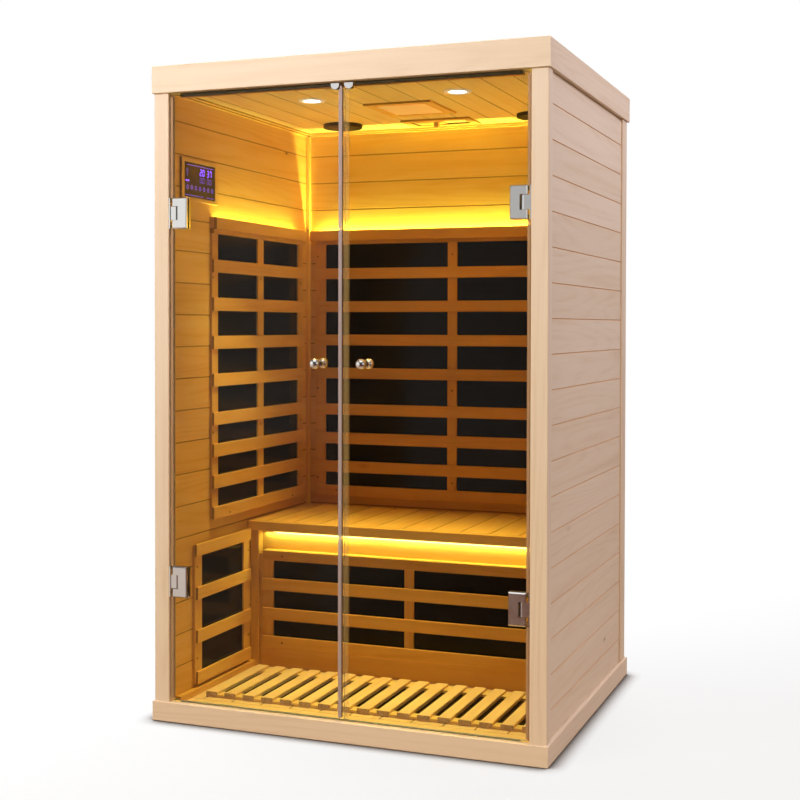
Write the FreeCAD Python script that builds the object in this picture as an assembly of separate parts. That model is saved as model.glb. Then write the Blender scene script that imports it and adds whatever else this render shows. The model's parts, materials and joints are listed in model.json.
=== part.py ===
import FreeCAD, Part
import math
import os

V = FreeCAD.Vector

# ---------------------------------------------------------------- driving dimensions (mm)
# Frame: X to the right seen from the front, the glass front faces -Y, +Z up.
# Origin: middle of the footprint, on the floor.
CABIN_W = 1200.0            # over the crown and the plinth
CABIN_D = 1020.0
CABIN_H = 1920.0
CROWN_H = 80.0              # height of the roof fascia
PLINTH_H = 57.0             # height of the base boards
BOARD_T = 20.0              # fascia and plinth board thickness
POST_X = 595.0              # outer side face of the corner posts
POST_W = 47.5               # width of the front posts seen from the front
POST_D = 40.0               # depth of the front posts
POST_FRONT_Y = -505.0       # front face of the front posts
REAR_POST_Y0, REAR_POST_Y1 = 426.0, 490.0
OUT_X = 589.0               # outer face of the side wall planks
IN_X = 550.0                # inner face of the side walls
IN_BACK = 448.0             # inner face of the back wall
OUT_BACK = 485.0            # outer face of the back wall
PLANK_T = 10.0
PLANK_P = 95.2              # plank pitch
PLANK_GAP = 0.2
PLANK_V = 1.8               # edge chamfer that makes the V joint
FLOOR_Z = 43.0              # top of the floor boards
FLOOR_T = 15.0
CEIL_Z = 1850.0             # underside of the ceiling
CEIL_PITCH = 95.0
ROOF_Z0, ROOF_Z1 = 1884.0, 1890.0   # roof board

GLASS_Y0, GLASS_Y1 = -496.5, -488.5  # 8 mm door glass
GLASS_Z0, GLASS_Z1 = 62.0, 1834.0
PIVOT_X, PIVOT_Y = 526.0, -492.5     # door hinge axis
HINGE_Z = (412.0, 1490.0)            # hinge centres
HINGE_X1 = 537.0                     # jamb side of the clamp plates
NOTCH_X = 516.0                      # inner end of the knuckle notch
HINGE_H, HINGE_W, HINGE_PLATE = 90.0, 49.0, 9.0
PIN_R = 3.0
PIN_BORE_R = 3.04                    # running bore in the clamp
KNOB_X, KNOB_Z, KNOB_R = 70.0, 1057.0, 15.0

GUARD_STILE_T = 8.0         # stiles stand on the wall, the heaters lie between them
GUARD_SLAT_T = 7.0
COVER_T = 10.0              # board that hides the light strip
HEATER_T = 3.0
BENCH_Z = 524.0
BENCH_FRONT_Y = -11.0
BENCH_PITCH = 95.4

DUCK_X0, DUCK_N, DUCK_PITCH, DUCK_W = -499.5, 17, 61.8, 38.0
DUCK_Y0, DUCK_Y1, DUCK_Z = -371.0, -32.0, 60.0

SHUT_X0, SHUT_X1 = -86.0, 6.0         # ends of the vent shutter at rest, closed
VENT_KNOB = (-16.0, 329.0)


# ---------------------------------------------------------------- helpers
def box(x0, x1, y0, y1, z0, z1):
    return Part.makeBox(x1 - x0, y1 - y0, z1 - z0, V(x0, y0, z0))


def prism(pts, vec):
    pts = [V(*p) for p in pts]
    face = Part.Face(Part.makePolygon(pts + [pts[0]]))
    s = face.extrude(V(*vec))
    if s.Volume < 0:
        s.reverse()
    return s


def cyl(r, h, base, axis=(0, 0, 1)):
    return Part.makeCylinder(r, h, V(*base), V(*axis))


def cham(shape, size, test):
    es = [e for e in shape.Edges if test(e)]
    return shape.makeChamfer(size, es) if es else shape


def along(axis):
    def t(e):
        a, b = e.Vertexes[0].Point, e.Vertexes[-1].Point
        d = b - a
        return d.Length > 1 and abs(abs(d.normalize().dot(V(*axis))) - 1) < 1e-6
    return t


def soft_box(x0, x1, y0, y1, z0, z1, c=1.2, axis=None):
    """A planed board: the four long edges are broken by a small chamfer."""
    s = box(x0, x1, y0, y1, z0, z1)
    d = (x1 - x0, y1 - y0, z1 - z0)
    if axis is None:
        i = d.index(max(d))
        axis = [(1, 0, 0), (0, 1, 0), (0, 0, 1)][i]
    return cham(s, c, along(axis))


def mirror_x(s):
    return s.mirror(V(0, 0, 0), V(1, 0, 0))


def plank_section(w0, w1, tongue, groove):
    """Section of one tongue-and-groove board: u from its hidden face (0) to its shown face, w across."""
    t, c, g = PLANK_T, PLANK_V, PLANK_GAP
    a, b = w0 + g / 2, w1 - g / 2
    p = [(0.0, a)]
    if groove:
        p += [(2.8, a), (2.8, a + 5.6), (6.6, a + 5.6), (6.6, a)]
    p += [(t - c, a), (t, a + c), (t, b - c), (t - c, b)]
    if tongue:
        p += [(6.3, b), (6.3, b + 5.0), (3.1, b + 5.0), (3.1, b)]
    p += [(0.0, b)]
    return p


def plank_lines(lo, hi, phase, pitch, margin=30.0):
    k0 = math.ceil((lo - phase) / pitch) - 1
    out = [lo]
    for k in range(k0, k0 + 60):
        v = phase + k * pitch
        if lo + margin < v < hi - margin:
            out.append(v)
    out.append(hi)
    return out


def plank_wall(lines, place, vec):
    """Boards between consecutive lines. place(u, w) gives the point at the start end; vec is the run."""
    out = []
    n = len(lines) - 1
    for i in range(n):
        sec = plank_section(lines[i], lines[i + 1], i < n - 1, i > 0)
        out.append(prism([place(u, w) for u, w in sec], vec))
    return out


def mitred_frame(hw, y0, y1, t, z0, z1, c=1.5):
    """Four boards on edge, mitred at the corners."""
    h = z1 - z0
    out = []
    f = [(-hw, y0, z0), (hw, y0, z0), (hw - t, y0 + t, z0), (-hw + t, y0 + t, z0)]
    b = [(-hw, y1, z0), (-hw + t, y1 - t, z0), (hw - t, y1 - t, z0), (hw, y1, z0)]
    l = [(-hw, y0, z0), (-hw + t, y0 + t, z0), (-hw + t, y1 - t, z0), (-hw, y1, z0)]
    r = [(hw, y0, z0), (hw, y1, z0), (hw - t, y1 - t, z0), (hw - t, y0 + t, z0)]
    for pts, axis in ((f, (1, 0, 0)), (b, (1, 0, 0)), (l, (0, 1, 0)), (r, (0, 1, 0))):
        out.append(cham(prism(pts, (0, 0, h)), c, along(axis)))
    return out


os.makedirs("parts", exist_ok=True)


def save(name, solids):
    solids = solids if isinstance(solids, (list, tuple)) else [solids]
    flat = []
    for s in solids:
        flat += list(s.Solids)
    shape = flat[0] if len(flat) == 1 else Part.makeCompound(flat)
    assert shape.isValid(), name
    shape.exportStep("parts/" + name + ".step")
    print("%-24s %3d solids %12.0f mm3" % (name, len(flat), sum(s.Volume for s in flat)))


HW, Y0, Y1 = CABIN_W / 2, -CABIN_D / 2, CABIN_D / 2
CROWN_Z0 = CABIN_H - CROWN_H
SIDE_Y0 = POST_FRONT_Y + POST_D      # back face of the front posts, where the side walls start
JAMB_X = POST_X - POST_W             # jamb face of the door opening
STUD_X = OUT_X - PLANK_T             # 579
STUD_BACK = OUT_BACK - PLANK_T       # 475

# ---------------------------------------------------------------- base
save("base_plinth", mitred_frame(HW, Y0, Y1, BOARD_T, 0.0, PLINTH_H))
JOIST_H = FLOOR_Z - FLOOR_T
save("floor_joists", [soft_box(-579.5, 579.5, y - 20, y + 20, 0, JOIST_H) for y in (-469, -312, -156, 0, 156, 312, 469)])

SILL_Y1 = -478.0
APRON_Y1 = -396.0           # back edge of the flat board behind the sill
floor_lines = plank_lines(-STUD_X, STUD_X, -20.0, 95.0)
floor = []
for i in range(len(floor_lines) - 1):
    a, b, c, t = floor_lines[i] + 0.1, floor_lines[i + 1] - 0.1, 2.0, FLOOR_T
    z = JOIST_H
    y = APRON_Y1 + 0.3
    floor.append(prism([(a, y, z), (b, y, z), (b, y, z + t - c), (b - c, y, z + t),
                        (a + c, y, z + t), (a, y, z + t - c)], (0, 488.0 - y, 0)))
save("floor_boards", floor)
save("front_sill", [soft_box(-579.5, 579.5, Y0 + BOARD_T + 0.1, SILL_Y1, JOIST_H, PLINTH_H),
                    soft_box(-579.5, 579.5, SILL_Y1 + 0.3, APRON_Y1, JOIST_H, FLOOR_Z)])

# ---------------------------------------------------------------- corner posts, drilled for the hinge leaf screws
LEAF_T = 4.0
LEAF_Y0, LEAF_Y1 = -503.5, -480.5


def leaf_screw(zc, dy, dz):
    """Countersunk wood screw through the hinge leaf into the left jamb."""
    x = -JAMB_X + LEAF_T
    y, z = (LEAF_Y0 + LEAF_Y1) / 2 + dy, zc + dz
    head = Part.makeCone(4.0, 2.0, 2.0, V(x, y, z), V(-1, 0, 0))
    return head.fuse(cyl(2.0, 26.0, (x - 1.9, y, z), (-1, 0, 0))).removeSplitter()


LEAF_SCREWS = [leaf_screw(zc, dy, dz) for zc in HINGE_Z for dy in (-6.0, 6.0) for dz in (-34.0, 34.0)]

left_post = soft_box(-POST_X, -JAMB_X, POST_FRONT_Y, SIDE_Y0, PLINTH_H, CROWN_Z0, 1.8, (0, 0, 1))
for s in LEAF_SCREWS:
    left_post = left_post.cut(s)
rear_post = soft_box(-POST_X, -IN_X - PLANK_T, REAR_POST_Y0, REAR_POST_Y1, PLINTH_H, CROWN_Z0, 1.8, (0, 0, 1))
save("corner_posts", [left_post, mirror_x(left_post), rear_post, mirror_x(rear_post)])

# ---------------------------------------------------------------- wall skins
OUT_PHASE, IN_PHASE = 1754.0, 1766.0
side_lines = plank_lines(PLINTH_H, CROWN_Z0, OUT_PHASE, PLANK_P)
lo = plank_wall(side_lines, lambda u, w: (-STUD_X - u, SIDE_Y0, w), (0, REAR_POST_Y0 - SIDE_Y0, 0))
save("left_outer_planks", lo)
save("right_outer_planks", [mirror_x(s) for s in lo])
back_lines = plank_lines(FLOOR_Z, CROWN_Z0, OUT_PHASE, PLANK_P)
save("back_outer_planks", plank_wall(back_lines, lambda u, w: (-IN_X - PLANK_T, STUD_BACK + u, w), (2 * (IN_X + PLANK_T), 0, 0)))
in_lines = plank_lines(FLOOR_Z, CEIL_Z, IN_PHASE, PLANK_P)
li = plank_wall(in_lines, lambda u, w: (-IN_X - PLANK_T + u, SIDE_Y0, w), (0, IN_BACK + PLANK_T - SIDE_Y0, 0))
save("left_inner_planks", li)
save("right_inner_planks", [mirror_x(s) for s in li])
save("back_inner_planks", plank_wall(in_lines, lambda u, w: (-IN_X, IN_BACK + PLANK_T - u, w), (2 * IN_X, 0, 0)))

studs = []
for y in (SIDE_Y0 + 0.5, -170.0, 130.0, REAR_POST_Y0 - 40.5):
    s = box(-STUD_X, -IN_X - PLANK_T, y, y + 40, FLOOR_Z, CEIL_Z)
    studs += [s, mirror_x(s)]
for x in (-540.0, -190.0, 150.0, 500.0):
    studs.append(box(x, x + 40, IN_BACK + PLANK_T, STUD_BACK, FLOOR_Z, CEIL_Z))
save("wall_studs", studs)

# ---------------------------------------------------------------- roof
save("roof_fascia", mitred_frame(HW, Y0, Y1, BOARD_T, CROWN_Z0, CABIN_H))
save("front_header", soft_box(-579.5, 579.5, Y0 + BOARD_T + 0.1, SIDE_Y0, CROWN_Z0, ROOF_Z0))

VENT_HOLE = (-80.0, 0.0, 275.0, 335.0)
DOWN_X, DOWN_Y, DOWN_R = 235.0, -190.0, 41.0
SPK_X, SPK_Y, SPK_R = 343.0, 290.0, 66.5
hole = box(VENT_HOLE[0], VENT_HOLE[1], VENT_HOLE[2], VENT_HOLE[3], CEIL_Z - 20, CABIN_H)
cans = [cyl(31.0, 60, (sx * DOWN_X, DOWN_Y, CEIL_Z - 10)) for sx in (-1, 1)]
baffles = [cyl(50.0, 60, (sx * SPK_X, SPK_Y, CEIL_Z - 10)) for sx in (-1, 1)]
ceil_lines = plank_lines(-STUD_X, STUD_X, -20.0, CEIL_PITCH)
ceiling = plank_wall(ceil_lines, lambda u, w: (w, SIDE_Y0 + 0.2, CEIL_Z + PLANK_T - u), (0, STUD_BACK - SIDE_Y0 - 0.4, 0))
cut = []
for s in ceiling:
    for tool in [hole] + cans + baffles:
        if s.BoundBox.intersect(tool.BoundBox):
            s = s.cut(tool)
    cut.append(s)
save("ceiling_planks", cut)
save("roof_joists", [soft_box(-579.5, 579.5, y - 15, y + 15, CEIL_Z + PLANK_T, ROOF_Z0) for y in (-448.0, -300.0, -80.0, 150.0, 440.0)])
save("roof_panel", box(-579.5, 579.5, -489.5, 489.5, ROOF_Z0, ROOF_Z1).cut(hole))

# ---------------------------------------------------------------- door stops, gaskets, catch magnets
STOP_X = 518.0
STOP_Y0, STOP_Y1 = -482.0, -466.0
GASKET_Y0 = -488.2
save("door_stops", soft_box(-STOP_X, STOP_X, STOP_Y0, STOP_Y1, 1829.0, CROWN_Z0, 1.0))
save("door_gaskets", [soft_box(-STOP_X, -34.0, GASKET_Y0, STOP_Y0, 1830.0, 1839.0, 0.8),
                      soft_box(38.0, STOP_X, GASKET_Y0, STOP_Y0, 1830.0, 1839.0, 0.8),
                      soft_box(-STOP_X, STOP_X, GASKET_Y0, STOP_Y0, PLINTH_H, 59.6, 0.5)])
CLIP_L, CLIP_R = (-31.5, -6.8), (9.0, 35.5)
save("catch_magnets", [soft_box(a, b - 5.0, -485.0, STOP_Y0, 1822.0, 1839.0, 0.8) for a, b in (CLIP_L, CLIP_R)])

# ---------------------------------------------------------------- interior trim
CORNICE = 12.0
trim = []
CORNICE_W = 14.0
# stepped section of the cornice: out from the wall, up from its lower edge
CORNICE_SEC = [(0, 0), (5.5, 0), (7.0, 1.5), (7.0, 5.5), (12.5, 5.5), (CORNICE_W, 7.0), (CORNICE_W, CORNICE), (0, CORNICE)]
cz = CEIL_Z - CORNICE
for s in (prism([(-IN_X + u, SIDE_Y0 + 0.5, cz + w) for u, w in CORNICE_SEC], (0, IN_BACK - SIDE_Y0 - 0.5, 0)),
          soft_box(-IN_X, -IN_X + 14, IN_BACK - 14, IN_BACK, BENCH_Z, cz, 2.0),
          soft_box(-IN_X, -IN_X + 18, SIDE_Y0 + 0.5, 5.5, FLOOR_Z, FLOOR_Z + 20, 2.0)):
    trim += [s, mirror_x(s)]
trim.append(prism([(-IN_X + CORNICE_W, IN_BACK - u, cz + w) for u, w in CORNICE_SEC], (2 * (IN_X - CORNICE_W), 0, 0)))
save("interior_trim", trim)

# ---------------------------------------------------------------- heater guards and heater panels
SL0 = GUARD_STILE_T                            # from the wall to the back of the slats
SL1 = SL0 + GUARD_SLAT_T
SL2 = SL1 + COVER_T
ROWS_SIDE = [(1328, 1368), (1209, 1250), (1090, 1131), (973, 1013), (853, 893), (754, 795), (656, 697), (561, 599)]
ROWS_BACK = [(1329, 1367), (1212, 1250), (1094, 1132), (976, 1014), (847, 886), (744, 784), (643, 683), (558, 596)]
ROWS_LEG = [(462, 499), (330, 367.5), (197, 236.5), (72, 111)]
ROWS_CALF = [(396, 428), (298, 337), (201, 240), (109, 148)]
SIDE_Y = (-259.0, 391.0)
SIDE_STILES = ((-258.5, -221.0), (48.0, 89.0), (354.0, 390.5))
LEG_Y = (-358.0, -14.0)
LEG_STILES = ((-364.0, -321.0), (-52.0, -14.5))
BACK_X = 515.0
BACK_STILES = ((-514.5, -476.0), (-15.0, 19.0), (476.0, 514.5))
CALF_X = 500.0
CALF_STILES = ((-499.0, -465.0), (-5.0, 26.0), (465.0, 499.0))
# light channel on top of a wall guard: base board, cover board in front of it
SIDE_BASE, SIDE_COVER = (1448.5, 1464.0), (1461.0, 1498.0)
BACK_BASE, BACK_COVER = (1452.0, 1467.0), (1463.5, 1500.5)


def side_guard(y, rows, stiles, z0, z1):
    out = [soft_box(-IN_X + SL0, -IN_X + SL1, y[0], y[1], a, b, 1.2) for a, b in rows]
    out += [soft_box(-IN_X, -IN_X + SL0, a, b, z0, z1, 0.8) for a, b in stiles]
    return out


def bays(stiles):
    return [(stiles[i][1] + 0.3, stiles[i + 1][0] - 0.3) for i in range(len(stiles) - 1)]


lw = side_guard(SIDE_Y, ROWS_SIDE, SIDE_STILES, 563, SIDE_BASE[0])
lw += [soft_box(-IN_X, -IN_X + SL1, SIDE_Y[0], SIDE_Y[1], SIDE_BASE[0], SIDE_BASE[1], 1.0),
       soft_box(-IN_X + SL1, -IN_X + SL2, SIDE_Y[0], SIDE_Y[1] - 3, SIDE_COVER[0], SIDE_COVER[1], 1.2),
       box(-IN_X, -IN_X + SL1, SIDE_Y[0], SIDE_Y[0] + 13, SIDE_BASE[1], SIDE_COVER[1]),
       box(-IN_X, -IN_X + SL1, SIDE_Y[1] - 16, SIDE_Y[1] - 3, SIDE_BASE[1], SIDE_COVER[1])]
save("left_wall_guard", lw)
save("right_wall_guard", [mirror_x(s) for s in lw])
ll = side_guard(LEG_Y, ROWS_LEG, LEG_STILES, 74, 497)
# the top slat covers the ends of the stiles
ll[0] = soft_box(-IN_X + SL0, -IN_X + SL1, LEG_Y[0] - 7.0, LEG_Y[1], ROWS_LEG[0][0], ROWS_LEG[0][1], 1.2)
save("left_leg_guard", ll)
save("right_leg_guard", [mirror_x(s) for s in ll])
save("back_wall_guard",
     [soft_box(-BACK_X, BACK_X, IN_BACK - SL1, IN_BACK - SL0, a, b, 1.2) for a, b in ROWS_BACK]
     + [soft_box(a, b, IN_BACK - SL0, IN_BACK, 560, BACK_BASE[0], 0.8) for a, b in BACK_STILES]
     + [soft_box(-BACK_X, BACK_X, IN_BACK - SL1, IN_BACK, BACK_BASE[0], BACK_BASE[1], 1.0),
        soft_box(-530, 530, IN_BACK - SL2, IN_BACK - SL1, BACK_COVER[0], BACK_COVER[1], 1.2)])
PANEL_Y = 36.0                                  # front face of the bench front panel
CALF_Y = GUARD_SLAT_T + GUARD_STILE_T           # front face of the board that carries the calf heater
save("calf_guard",
     [soft_box(-CALF_X, CALF_X, 0, GUARD_SLAT_T, a, b, 1.2) for a, b in ROWS_CALF]
     + [soft_box(a, b, GUARD_SLAT_T, CALF_Y, 111, 414, 0.8) for a, b in CALF_STILES]
     + [soft_box(-CALF_X, CALF_X, GUARD_SLAT_T, PANEL_Y, 414.2, 428, 1.0)])
HEATERS = []
for y0, y1 in bays(SIDE_STILES):
    s = box(-IN_X, -IN_X + HEATER_T, y0, y1, 572, SIDE_BASE[0] - 0.3)
    HEATERS += [s, mirror_x(s)]
for y0, y1 in bays(LEG_STILES):
    s = box(-IN_X, -IN_X + HEATER_T, y0, y1, 82, 490)
    HEATERS += [s, mirror_x(s)]
HEATERS += [box(a, b, IN_BACK - HEATER_T, IN_BACK, 568, BACK_BASE[0] - 0.3) for a, b in bays(BACK_STILES)]
HEATERS += [box(a, b, CALF_Y - HEATER_T, CALF_Y, 118, 410) for a, b in bays(CALF_STILES)]
HEATERS.append(box(-488, 506, -330, -82, FLOOR_Z, FLOOR_Z + HEATER_T))
save("heater_panels", [cham(s, 0.8, lambda e: True) for s in HEATERS])

# ---------------------------------------------------------------- light strips
ls = box(-IN_X + 0.3, -IN_X + 9, SIDE_Y[0] + 13.3, SIDE_Y[1] - 16.3, SIDE_BASE[1], SIDE_BASE[1] + 5)
save("led_strips", [ls, mirror_x(ls), box(-500, 500, IN_BACK - 9, IN_BACK - 0.3, BACK_BASE[1], BACK_BASE[1] + 5),
                    box(-472, 505, PANEL_Y - 12, PANEL_Y, 485.0, 493.5)])

# ---------------------------------------------------------------- ceiling fittings
bez, lens, rim, gril = [], [], [], []
for sx in (-1, 1):
    c = (sx * DOWN_X, DOWN_Y)
    ring = Part.makeCone(DOWN_R - 1.5, DOWN_R, 3.0, V(c[0], c[1], CEIL_Z - 3.0))
    can = cyl(30.6, 22.0, (c[0], c[1], CEIL_Z - 0.2))
    b = ring.fuse(can).cut(Part.makeCone(28.5, 25.8, 10.0, V(c[0], c[1], CEIL_Z - 3.0))).removeSplitter()
    bez.append(b)
    lens.append(cyl(25.4, 3.0, (c[0], c[1], CEIL_Z + 1.0)))
    c = (sx * SPK_X, SPK_Y)
    r = cyl(SPK_R, 12.0, (c[0], c[1], CEIL_Z - 12.0)).cut(cyl(SPK_R - 7, 14.0, (c[0], c[1], CEIL_Z - 13.0)))
    r = cham(r, 1.5, lambda e: e.BoundBox.ZLength < 1e-6 and e.BoundBox.ZMin < CEIL_Z - 11 and e.BoundBox.XLength > 2 * SPK_R - 1)
    rim.append(r)
    g = cyl(SPK_R - 7.3, 3.0, (c[0], c[1], CEIL_Z - 11.0)).fuse(cyl(49.5, 21.0, (c[0], c[1], CEIL_Z - 8.0))).removeSplitter()
    gril.append(g)
save("downlight_bezels", bez)
save("downlight_lenses", lens)
save("speaker_rims", rim)
save("speaker_grilles", gril)

LT = (-112.0, 110.0, -80.0, 163.0)
LT_B, LT_T = 30.0, 6.0               # border width, thickness
lf = soft_box(LT[0], LT[1], LT[2], LT[3], CEIL_Z - LT_T, CEIL_Z, 0.8, (0, 1, 0))
lf = lf.cut(box(LT[0] + LT_B, LT[1] - LT_B, LT[2] + LT_B, LT[3] - LT_B, CEIL_Z - 11, CEIL_Z + 1))
save("ceiling_light_frame", lf)
g = LT_B + 0.3
save("ceiling_light_diffuser", soft_box(LT[0] + g, LT[1] - g, LT[2] + g, LT[3] - g, CEIL_Z - LT_T + 0.8, CEIL_Z, 0.6))

# vent: a thin frame, grooved along both long sides for the shutter board
VF = (-122.0, 118.0, 264.0, 397.0)
VF_T, LIP_T = 6.0, 2.2
OPEN = (-98.0, 94.0, 291.0, 370.0)
vent = soft_box(VF[0], VF[1], VF[2], VF[3], CEIL_Z - VF_T, CEIL_Z, 0.8, (1, 0, 0))
vent = vent.cut(box(OPEN[0], OPEN[1], OPEN[2], OPEN[3], CEIL_Z - 11, CEIL_Z + 1))
vent = vent.cut(box(OPEN[0], OPEN[1], 270.0, 382.0, CEIL_Z - VF_T + LIP_T, CEIL_Z + 1))
save("vent_frame", vent)
SH_Z0, SH_Z1 = CEIL_Z - VF_T + LIP_T + 0.3, CEIL_Z - 0.8
shut = soft_box(SHUT_X0, SHUT_X1, 271.0, 381.0, SH_Z0, SH_Z1, 0.6, (0, 1, 0))
kn = soft_box(VENT_KNOB[0] - 8, VENT_KNOB[0] + 8, VENT_KNOB[1] - 8, VENT_KNOB[1] + 8, CEIL_Z - 20, SH_Z0, 2.0, (0, 0, 1))
save("vent_shutter", [shut, kn])

# ---------------------------------------------------------------- control panel on the left wall
CP = (-437.0, -221.0, 1537.0, 1664.0)
cf = soft_box(-IN_X, -IN_X + 7, CP[0], CP[1], CP[2], CP[3], 1.2, (0, 1, 0))
cf = cf.cut(box(-IN_X + 2, -IN_X + 8, CP[0] + 16, CP[1] - 16, CP[2] + 11, CP[3] - 11))
save("control_panel_frame", cf)
save("control_panel_glass", cham(box(-IN_X + 2, -IN_X + 6, CP[0] + 16.3, CP[1] - 16.3, CP[2] + 11.3, CP[3] - 11.3), 0.8,
                                 lambda e: e.BoundBox.XMin > -IN_X + 5.9))

# ---------------------------------------------------------------- bench
bench_lines = plank_lines(-549.0, 549.0, -12.0, BENCH_PITCH)
boards = []
for i in range(len(bench_lines) - 1):
    boards.append(soft_box(bench_lines[i] + 0.8, bench_lines[i + 1] - 0.8, BENCH_FRONT_Y + 20.3, 446.0, BENCH_Z - 22, BENCH_Z, 1.5))
save("bench_boards", boards)
save("bench_front_rail", soft_box(-549.5, 549.5, BENCH_FRONT_Y, BENCH_FRONT_Y + 20, BENCH_Z - 31, BENCH_Z, 2.0))
leg = soft_box(-548, -518, 6, PANEL_Y, FLOOR_Z, BENCH_Z - 31, 1.5)
cleat = soft_box(-549, -529, 83, 418, 472, BENCH_Z - 22, 1.0)
save("bench_frame", [leg, mirror_x(leg), cleat, mirror_x(cleat),
                     soft_box(-546, 546, 53, 83, 462, BENCH_Z - 22, 1.0),
                     soft_box(-546, 546, 418, 447, 462, BENCH_Z - 22, 1.0),
                     soft_box(-15, 15, 83, 418, 472, BENCH_Z - 22, 1.0)])
save("bench_front_panel", [box(-549, 549, PANEL_Y, PANEL_Y + 12, FLOOR_Z, BENCH_Z - 22),
                           box(-517.7, 517.7, CALF_Y, CALF_Y + 12, FLOOR_Z, 414)])

# ---------------------------------------------------------------- duckboard on the floor
DUCK_BATTENS = ((-369.0, -333.0), (-78.0, -33.0))
BATTEN_Z1 = 52.0                     # the slats are notched over the battens
slats = []
for i in range(DUCK_N):
    a = DUCK_X0 + i * DUCK_PITCH
    s = soft_box(a, a + DUCK_W, DUCK_Y0, DUCK_Y1, DUCK_Z - 13, DUCK_Z, 1.8)
    for y0, y1 in DUCK_BATTENS:
        s = s.cut(box(a - 1, a + DUCK_W + 1, y0 - 0.3, y1 + 0.3, DUCK_Z - 14, BATTEN_Z1))
    slats.append(s)
save("duckboard_slats", slats)
dx1 = DUCK_X0 + (DUCK_N - 1) * DUCK_PITCH + DUCK_W
save("duckboard_battens", [soft_box(DUCK_X0, dx1, a, b, FLOOR_Z, BATTEN_Z1, 0.8) for a, b in DUCK_BATTENS])

# ---------------------------------------------------------------- roof electrics
pb = cham(box(150, 410, 20, 190, ROOF_Z1, ROOF_Z1 + 27), 2.0, lambda e: e.BoundBox.ZMin > ROOF_Z1 + 0.1 or along((0, 0, 1))(e))
save("power_box", pb)
# cable gland on the side of the box: hexagon body, turned nose, open bore for a lead
GLAND = (410.0, 105.0, ROOF_Z1 + 13.5)
hexa = [(GLAND[0], GLAND[1] + 11.0 * math.cos(math.radians(60 * i)), GLAND[2] + 11.0 * math.sin(math.radians(60 * i))) for i in range(6)]
gland = prism(hexa, (7.0, 0, 0)).fuse(Part.makeCone(8.6, 7.4, 13.0, V(GLAND[0] + 7.0, GLAND[1], GLAND[2]), V(1, 0, 0)))
gland = gland.cut(cyl(4.0, 40.0, GLAND, (1, 0, 0))).removeSplitter()
save("cable_gland", gland)
save("cable_trunking", [soft_box(-470, 150, 90, 115, ROOF_Z1, ROOF_Z1 + 14, 1.5),
                        soft_box(260, 285, 190, 470, ROOF_Z1, ROOF_Z1 + 14, 1.5),
                        soft_box(-470, -445, 115, 470, ROOF_Z1, ROOF_Z1 + 14, 1.5)])

# ---------------------------------------------------------------- door hinges, left side then mirrored
BARREL_R = 8.5


def hinge_knuckle(zc):
    """Jamb leaf with the fixed knuckle that the pin stands in."""
    px, py = -PIVOT_X, PIVOT_Y
    x = -JAMB_X + LEAF_T
    leaf = box(-JAMB_X, x, LEAF_Y0, LEAF_Y1, zc - 45, zc + 45)
    web = box(x - 0.5, px, py - BARREL_R, py + BARREL_R, zc - 19.5, zc + 19.5)
    barrel = cyl(BARREL_R, 39.0, (px, py, zc - 19.5))
    s = leaf.multiFuse([web, barrel]).removeSplitter()
    s = s.cut(cyl(PIN_R + 0.01, 60, (px, py, zc - 30)))
    for w in LEAF_SCREWS:
        if abs(w.BoundBox.Center.z - zc) < 60:
            s = s.cut(w)
    return s


def hinge_clamp(zc):
    """Front plate with the two pin cores, back plate, and the two clamp screws, on the glass."""
    x0, x1 = -HINGE_X1, -HINGE_X1 + HINGE_W
    py = PIVOT_Y
    fy0, fy1 = GLASS_Y0 - HINGE_PLATE, GLASS_Y0
    by0, by1 = GLASS_Y1, GLASS_Y1 + HINGE_PLATE
    notch = box(x0 - 1, -NOTCH_X, fy0 - 1, by1 + 1, zc - 20.5, zc + 20.5)
    front = box(x0, x1, fy0, fy1, zc - 45, zc + 45)
    front = cham(front, 3.0, lambda e: abs(e.BoundBox.YMin - fy0) < 1e-6 and abs(e.BoundBox.YMax - fy0) < 1e-6)
    back = box(x0, x1, by0, by1, zc - 45, zc + 45)
    back = cham(back, 3.0, lambda e: abs(e.BoundBox.YMin - by1) < 1e-6 and abs(e.BoundBox.YMax - by1) < 1e-6)
    cores = [box(-537, -511, GLASS_Y0 - 0.5, GLASS_Y1, zc + a, zc + b) for a, b in ((20.5, 32.5), (-32.5, -20.5))]
    front = front.cut(notch).multiFuse(cores).removeSplitter()
    bore = cyl(PIN_BORE_R, 66, (-PIVOT_X, py, zc - 33))
    front = front.cut(bore)
    back = back.cut(notch)
    screws = []
    for dz in (-27.0, 27.0):
        sx = -505.0
        head = Part.makeCone(4.6, 2.5, 2.6, V(sx, by1, zc + dz), V(0, -1, 0))
        sc = head.fuse(cyl(2.5, by1 - 2.5 - (fy0 + 4), (sx, fy0 + 4, zc + dz), (0, 1, 0))).removeSplitter()
        drive = cyl(1.5, 1.6, (sx, by1 - 1.5, zc + dz), (0, 1, 0))
        front = front.cut(sc)
        back = back.cut(sc)
        screws.append(sc.cut(drive))
    return [front, back] + screws


kn_l = [hinge_knuckle(z) for z in HINGE_Z] + LEAF_SCREWS
save("hinge_knuckles", kn_l + [mirror_x(s) for s in kn_l])
pin_l = [cyl(PIN_R, 64, (-PIVOT_X, PIVOT_Y, z - 32)) for z in HINGE_Z]
save("hinge_pins", pin_l + [mirror_x(s) for s in pin_l])
cl_l = [s for z in HINGE_Z for s in hinge_clamp(z)]
save("left_hinge_clamps", cl_l)
save("right_hinge_clamps", [mirror_x(s) for s in cl_l])


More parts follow.
